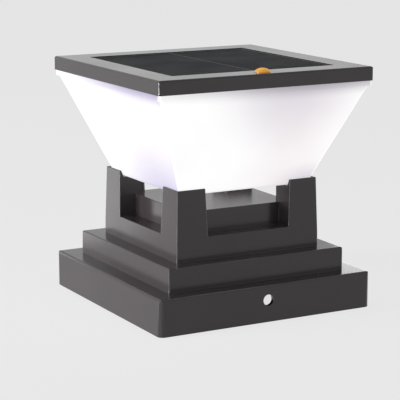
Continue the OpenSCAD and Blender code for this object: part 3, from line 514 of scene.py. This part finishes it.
def frosted_glow():
    """Frosted diffuser with a painted glow, which is emission in place of the lamps' light through it,
    with painted shade spots on each face and dimmer downward faces.
    """
    colours = settings("cap_light_colours")
    # Emission paints the diffuser's glow
    made, tree, shader = new_material("frosted_glow", Roughness=0.45, Emission_Strength=1.0)
    low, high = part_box("diffuser")
    axes = add(tree, "ShaderNodeSeparateXYZ", {0: place(tree)}).outputs
    height = calc(tree, "DIVIDE", calc(tree, "SUBTRACT", axes["Z"], low.z), high.z - low.z)
    face = add(tree, "ShaderNodeSeparateXYZ", {
        0: add(tree, "ShaderNodeNewGeometry").outputs["Normal"]}).outputs
    faces = along_faces(tree, axes, face, high.x - low.x)
    light = rgba(colours.glow)
    # Painted shade spots dim the painted glow
    for side, middle, half, shade in GLOW_SPOTS:
        along, mask = faces[side]
        spot = use_group(tree, "patch", {
            "Along": along, "Height": height, "Middle Along": middle[0], "Middle Height": middle[1],
            "Half Length": half[0], "Half Height": half[1]})["Mask"]
        light = blend_colour(tree, calc(tree, "MULTIPLY", spot, mask), light,
                             rgba(getattr(colours, shade)))
    grain = use_group(tree, "grain", {"Grain Scale": 4000.0, "Tone Scale": 60.0})
    # Painted shade: the glow is dimmer on faces that point down
    underside_shade = ramp(tree, face["Z"], low=-0.95, high=-0.6, to_low=0.85, to_high=1.0)
    mottle_and_underside_shade = calc(tree, "MULTIPLY", calc(tree, "MULTIPLY_ADD", grain["Tone"], 0.02, 0.98), underside_shade)
    lit = add(tree, "ShaderNodeVectorMath", {0: light, "Scale": mottle_and_underside_shade}, operation="SCALE")
    tree.links.new(lit.outputs[0], shader.inputs["Emission Color"])
    dark = toned(colours.frost, FROST_DARK)
    tree.links.new(blend_colour(tree, grain["Tone"], dark, rgba(colours.frost)),
                   shader.inputs["Base Color"])
    relief(tree, shader, grain["Height"], SATIN_DEPTH)
    return made


def silicon():
    """Dark solar cell with printed fingers and two wider bars."""
    sizes = settings("cap_light_sizes")
    colours = settings("cap_light_colours")
    made, tree, shader = new_material("dark_silicon", IOR=1.2)
    axes = add(tree, "ShaderNodeSeparateXYZ", {0: place(tree)}).outputs
    fingers = use_group(tree, "lines", {
        "Along": axes["Y"], "Pitch": sizes.finger_pitch, "Width": sizes.finger_width})["Mask"]
    bars = use_group(tree, "lines", {
        "Along": calc(tree, "ADD", axes["X"], sizes.bar_pitch / 2), "Pitch": sizes.bar_pitch,
        "Width": sizes.bar_width})["Mask"]
    facets = add(tree, "ShaderNodeTexVoronoi", {"Vector": place(tree), "Scale": 260.0})
    shade = add(tree, "ShaderNodeSeparateColor", {0: facets.outputs["Color"]}).outputs[0]
    body = blend_colour(tree, shade, rgba(colours.cell), toned(colours.cell, CELL_BLUE))
    printed = calc(tree, "MAXIMUM", calc(tree, "MULTIPLY", fingers, FINGER_SHARE),
                   calc(tree, "MULTIPLY", bars, BAR_SHARE))
    tree.links.new(blend_colour(tree, printed, body, rgba(colours.cell_print)),
                   shader.inputs["Base Color"])
    tree.links.new(calc(tree, "MULTIPLY_ADD", shade, 0.1, 0.5), shader.inputs["Roughness"])
    return made


def clear_cover():
    """Satin resin over the cells, clear from above and closed at a low angle, paler beside the cells."""
    colours = settings("cap_light_colours")
    made, tree, shader = new_material("clear_cover", IOR=1.03)
    texture = use_group(tree, "grain", {"Grain Scale": 1500.0, "Tone Scale": 45.0})
    tree.links.new(calc(tree, "MULTIPLY_ADD", texture["Tone"], 0.06, 0.3), shader.inputs["Roughness"])
    low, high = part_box("cell_left")
    axes = add(tree, "ShaderNodeSeparateXYZ", {0: place(tree)}).outputs
    aside = calc(tree, "ABSOLUTE", axes["X"])
    within = calc(tree, "LESS_THAN", calc(tree, "ABSOLUTE", axes["Y"]), high.y)
    past_gap = calc(tree, "GREATER_THAN", aside, -high.x)
    over = calc(tree, "MULTIPLY", within,
                calc(tree, "MULTIPLY", past_gap, calc(tree, "LESS_THAN", aside, -low.x)))
    tree.links.new(blend_colour(tree, over, rgba(colours.cover_edge), rgba(colours.cover)),
                   shader.inputs["Base Color"])
    low_angle = add(tree, "ShaderNodeLayerWeight", {"Blend": 0.5}).outputs["Facing"]
    tree.links.new(ramp(tree, low_angle, low=0.5, high=0.78, to_low=0.3, to_high=0.85),
                   shader.inputs["Alpha"])
    relief(tree, shader, texture["Height"], SATIN_DEPTH)
    return made


def amber_plastic():
    """Translucent amber button with a painted glow, and painted shade that darkens it towards its foot."""
    colour = settings("cap_light_colours").amber
    # Emission paints a glow on the button, which is no lamp
    made, tree, shader = new_material("amber_plastic", Roughness=0.28, Emission_Strength=0.42)
    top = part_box("power_button")[1].z
    axes = add(tree, "ShaderNodeSeparateXYZ", {0: place(tree)}).outputs
    # Painted shade: darker towards the button's foot
    rise = ramp(tree, axes["Z"], low=top - BUTTON_SHADE_FULL_DEPTH, high=top - BUTTON_SHADE_START_DEPTH)
    tinted = blend_colour(tree, rise, toned(colour, BUTTON_FOOT_SHADE), rgba(colour))
    tree.links.new(tinted, shader.inputs["Base Color"])
    tree.links.new(tinted, shader.inputs["Emission Color"])
    texture = use_group(tree, "grain", {"Grain Scale": 2200.0})
    relief(tree, shader, texture["Height"], SATIN_DEPTH)
    return made


def lamp_resin():
    """Pale yellow lamp resin that gives light."""
    made, tree, shader = new_material("lamp_resin", Roughness=0.3, Emission_Strength=2.0)
    cloud = add(tree, "ShaderNodeTexNoise", {"Vector": place(tree), "Scale": 900.0})
    tree.links.new(blend_colour(tree, cloud.outputs[0], rgba(LAMP_YELLOW), rgba(LAMP_PALE_YELLOW)),
                   shader.inputs["Base Color"])
    tree.links.new(blend_colour(tree, cloud.outputs[0], rgba(LAMP_LIGHT_WARM), rgba(WHITE)),
                   shader.inputs["Emission Color"])
    return made


def sleeve(name, colour):
    """Smooth shrunk or extruded sleeve with faint flow lines."""
    made, tree, shader = new_material(name, Roughness=0.3, Coat_Weight=0.2)
    flow = add(tree, "ShaderNodeTexNoise", {"Vector": place(tree), "Scale": 350.0, "Detail": 5.0})
    tree.links.new(blend_colour(tree, flow.outputs[0], toned(colour, SLEEVE_DARK), rgba(colour)),
                   shader.inputs["Base Color"])
    relief(tree, shader, flow.outputs[0], FLOW_DEPTH)
    return made


def dress(material, *nodes):
    """Gives CAD nodes their finish."""
    for name in nodes:
        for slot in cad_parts[name].material_slots:
            slot.material = material


class BaseOperator(bpy.types.Operator):
    """Dresses the stepped base and its pillars."""

    bl_idname = "cap_light.base"
    bl_label = "Stepped Base"

    def execute(self, context):
        colours = settings("cap_light_colours")
        dress(moulded("base_plastic", colours.base, highlight_rim=True), "base_shell")
        return {"FINISHED"}


class DiffuserOperator(bpy.types.Operator):
    """Dresses the frosted diffuser with its painted glow."""

    bl_idname = "cap_light.diffuser"
    bl_label = "Diffuser"

    def execute(self, context):
        dress(frosted_glow(), "diffuser")
        return {"FINISHED"}


class LidOperator(bpy.types.Operator):
    """Dresses the lid and the soft seal under it."""

    bl_idname = "cap_light.lid"
    bl_label = "Lid"

    def execute(self, context):
        colours = settings("cap_light_colours")
        dress(moulded("lid_plastic", colours.lid, Coat_Weight=0.18, Coat_Roughness=0.2), "lid_frame")
        dress(moulded("seal_rubber", SEAL_BLACK, roughness=0.75, wear_and_sheen=0.0), "lid_seal")
        return {"FINISHED"}


class SolarPanelOperator(bpy.types.Operator):
    """Dresses the solar panel: cells, ribbons, backing, tape and clear cover."""

    bl_idname = "cap_light.solar_panel"
    bl_label = "Solar Panel"

    def execute(self, context):
        dress(silicon(), "cell_left", "cell_right")
        dress(clear_cover(), "panel_cover")
        dress(metal("tinned_ribbon", TINNED_GREY, roughness=0.35), "cell_ribbons")
        dress(board("panel_board", PANEL_GREY, PANEL_TRACK_GREY), "panel_backing")
        dress(moulded("foam_tape", TAPE_BLACK, roughness=0.85, depth=6.0, wear_and_sheen=0.0), "panel_tape")
        return {"FINISHED"}


class ButtonOperator(bpy.types.Operator):
    """Dresses the push button and the switch under it."""

    bl_idname = "cap_light.push_button"
    bl_label = "Push Button"

    def execute(self, context):
        dress(amber_plastic(), "power_button")
        dress(moulded("plunger_plastic", PLUNGER_WHITE), "switch_plunger")
        dress(moulded("switch_plastic", SWITCH_BLACK, roughness=0.35), "switch_body")
        return {"FINISHED"}


class TrayOperator(bpy.types.Operator):
    """Dresses the lamp tray, the lamps and the battery in it."""

    bl_idname = "cap_light.tray"
    bl_label = "Lamp Tray"

    def execute(self, context):
        dress(moulded("tray_plastic", TRAY_WHITE, roughness=0.45), "lamp_tray", "lead_sockets")
        dress(board("lamp_board", LAMP_BOARD_WHITE, LAMP_TRACK_WHITE), "lamp_board")
        dress(lamp_resin(), "lamps")
        dress(moulded("holder_plastic", HOLDER_BLACK, roughness=0.4), "battery_holder")
        dress(sleeve("battery_sleeve", BATTERY_GREEN), "battery_cell")
        dress(metal("contact_steel", CONTACT_GREY), "contact_spring", "contact_plate")
        return {"FINISHED"}


class BoardOperator(bpy.types.Operator):
    """Dresses the control board, the switch board and what sits on them."""

    bl_idname = "cap_light.boards"
    bl_label = "Boards"

    def execute(self, context):
        dress(board("green_board", BOARD_GREEN, TRACK_GREEN), "control_board", "switch_board")
        dress(moulded("chip_plastic", CHIP_BLACK, roughness=0.5), "controller_chip")
        dress(moulded("ferrite", FERRITE_GREY, roughness=0.6), "inductor")
        dress(metal("drawn_can", CAN_GREY, roughness=0.28), "capacitor")
        return {"FINISHED"}


class FastenerOperator(bpy.types.Operator):
    """Dresses the screws and the leads."""

    bl_idname = "cap_light.fasteners"
    bl_label = "Screws and Leads"

    def execute(self, context):
        dress(metal("zinc_plate", ZINC_GREY, roughness=0.28, stretch=(1.0, 1.0, 1.0)),
              "lamp_board_screws", "board_screws", "tray_screws", "head_screws")
        dress(sleeve("lead_sleeve", LEAD_RED),
              "solar_leads", "battery_leads", "lamp_leads", "switch_leads")
        return {"FINISHED"}


def seen_rays(tree):
    """1 for the rays that look at the background: from the camera, a mirror or through glass."""
    path = add(tree, "ShaderNodeLightPath").outputs
    return calc(tree, "MAXIMUM", path["Is Camera Ray"],
                calc(tree, "MAXIMUM", path["Is Glossy Ray"], path["Is Transmission Ray"]))


def floor_material(grey):
    """Pale floor that shows the background's grey and keeps a soft part of the object's shadow."""
    made, tree, shader = new_material("pale_floor", Roughness=0.9, IOR=1.0)
    cloud = add(tree, "ShaderNodeTexNoise", {"Vector": place(tree), "Scale": 3.0})
    pale = (FLOOR_PALE,) * 3
    tree.links.new(blend_colour(tree, cloud.outputs[0], toned(pale, FLOOR_DULL), rgba(pale)),
                   shader.inputs["Base Color"])
    even = add(tree, "ShaderNodeEmission", {"Color": rgba((grey,) * 3), "Strength": FLOOR_EVEN})
    share = calc(tree, "MULTIPLY", seen_rays(tree), 1.0 - SHADOW_SHARE)
    mixed = add(tree, "ShaderNodeMixShader", {0: share, 1: shader.outputs[0], 2: even.outputs[0]})
    tree.links.new(mixed.outputs[0], tree.nodes["Material Output"].inputs["Surface"])
    return made


def studio_world(grey):
    """Even background for what looks at it, and a faint soft light from above for the rest."""
    world = bpy.data.worlds.new("studio")
    world.use_nodes = True
    tree = world.node_tree
    sky = tree.nodes["Background"]
    toward = add(tree, "ShaderNodeTexCoord").outputs["Generated"]
    up = add(tree, "ShaderNodeSeparateXYZ", {0: toward}).outputs["Z"]
    soft = ramp(tree, up, low=0.0, high=1.0, to_low=SKY_LOW, to_high=SKY_HIGH)
    backdrop = ramp(tree, up, low=0.35, high=0.6, to_low=grey * HORIZON_SHARE,
                    to_high=grey * CEILING_SHARE)
    strength = add(tree, "ShaderNodeMix", {"Factor": seen_rays(tree), "A": soft, "B": backdrop},
                   data_type="FLOAT")
    sky.inputs["Color"].default_value = rgba(WHITE)
    tree.links.new(strength.outputs["Result"], sky.inputs["Strength"])
    bpy.context.scene.world = world


def square(name, half):
    """Flat square that faces up, for the floor and the cards."""
    mesh = bpy.data.meshes.new(name)
    shape = bmesh.new()
    bmesh.ops.create_grid(shape, x_segments=1, y_segments=1, size=half)
    shape.to_mesh(mesh)
    shape.free()
    made = bpy.data.objects.new(name, mesh)
    bpy.context.scene.collection.objects.link(made)
    return made


def lamp(name, where, size, power, glossy):
    """Soft rectangular lamp that faces the middle of the object and stays out of the picture."""
    light = bpy.data.lights.new(name, "AREA")
    light.shape = "RECTANGLE"
    light.size, light.size_y = size
    light.energy = power
    made = bpy.data.objects.new(name, light)
    bpy.context.scene.collection.objects.link(made)
    where = Vector(where)
    turn = (LAMP_AIM - where).to_track_quat("-Z", "Y").to_matrix().to_4x4()
    made.matrix_world = Matrix.Translation(where) @ turn
    made.visible_camera = False
    made.visible_glossy = glossy


def card(name, where, size, strength):
    """Upright white reflector that only shows in gloss, as a card beside the set would."""
    made = square(name, 0.5)
    where = Vector(where)
    flat = Vector((-where.x, -where.y, 0.0))
    turn = flat.to_track_quat("Z", "Y").to_matrix().to_4x4()
    made.matrix_world = (Matrix.Translation(where) @ turn
                         @ Matrix.Diagonal((size[0], size[1], 1.0, 1.0)))
    paper = bpy.data.materials.new(name)
    paper.use_nodes = True
    tree = paper.node_tree
    glow = add(tree, "ShaderNodeEmission", {"Color": rgba(WHITE), "Strength": strength})
    tree.links.new(glow.outputs[0], tree.nodes["Material Output"].inputs["Surface"])
    made.data.materials.append(paper)
    for kind in ("camera", "diffuse", "transmission", "shadow", "volume_scatter"):
        setattr(made, "visible_" + kind, False)


class StageOperator(bpy.types.Operator):
    """Adds the pale floor, the studio light and the camera."""

    bl_idname = "cap_light.stage"
    bl_label = "Studio"

    def execute(self, context):
        stage = settings("cap_light_stage")
        floor = square("floor", FLOOR_HALF)
        floor.data.materials.append(floor_material(stage.background))
        floor.location.z = -FLOOR_DROP
        studio_world(stage.background)
        for values in LAMPS:
            lamp(*values)
        for values in CARDS:
            card(*values)
        lens = bpy.data.cameras.new("camera")
        lens.lens = stage.lens
        lens.clip_start = CLIP_NEAR
        lens.clip_end = CLIP_FAR
        camera = bpy.data.objects.new("camera", lens)
        context.scene.collection.objects.link(camera)
        back = Vector((math.sin(stage.azimuth) * math.cos(stage.elevation),
                       -math.cos(stage.azimuth) * math.cos(stage.elevation),
                       math.sin(stage.elevation)))
        turn = (-back).to_track_quat("-Z", "Y").to_matrix().to_4x4()
        camera.matrix_world = (Matrix.Translation(Vector(stage.aim) + back * stage.distance) @ turn
                               @ Matrix.Rotation(stage.roll, 4, "Z"))
        context.scene.camera = camera
        context.scene.view_settings.view_transform = "Standard"
        return {"FINISHED"}


class CapLightPanel(bpy.types.Panel):
    """Lists the light's pieces and its studio."""

    bl_idname = "VIEW3D_PT_cap_light"
    bl_label = "Cap Light"
    bl_space_type = "VIEW_3D"
    bl_region_type = "UI"
    bl_category = "Cap Light"

    def draw(self, context):
        column = self.layout.column()
        for group in VALUE_GROUPS:
            values = getattr(context.scene, group)
            for name in values.bl_rna.properties.keys():
                if name not in ("rna_type", "name"):
                    column.prop(values, name)
        for operator in OPERATORS:
            column.operator(operator.bl_idname)


VALUE_GROUPS = {"cap_light_sizes": CapLightSizes, "cap_light_colours": CapLightColours,
                "cap_light_stage": CapLightStage}
OPERATORS = (BaseOperator, DiffuserOperator, LidOperator, SolarPanelOperator, ButtonOperator,
             TrayOperator, BoardOperator, FastenerOperator, StageOperator)
CLASSES = (*VALUE_GROUPS.values(), *OPERATORS, CapLightPanel)


def register():
    for made in CLASSES:
        bpy.utils.register_class(made)
    for name, group in VALUE_GROUPS.items():
        setattr(bpy.types.Scene, name, PointerProperty(type=group))


def unregister():
    for name in VALUE_GROUPS:
        delattr(bpy.types.Scene, name)
    for made in reversed(CLASSES):
        bpy.utils.unregister_class(made)


def main():
    """Builds every piece in order."""
    register()
    for operator in OPERATORS:
        category, name = operator.bl_idname.split(".")
        getattr(getattr(bpy.ops, category), name)()


if __name__ == "__main__":
    main()
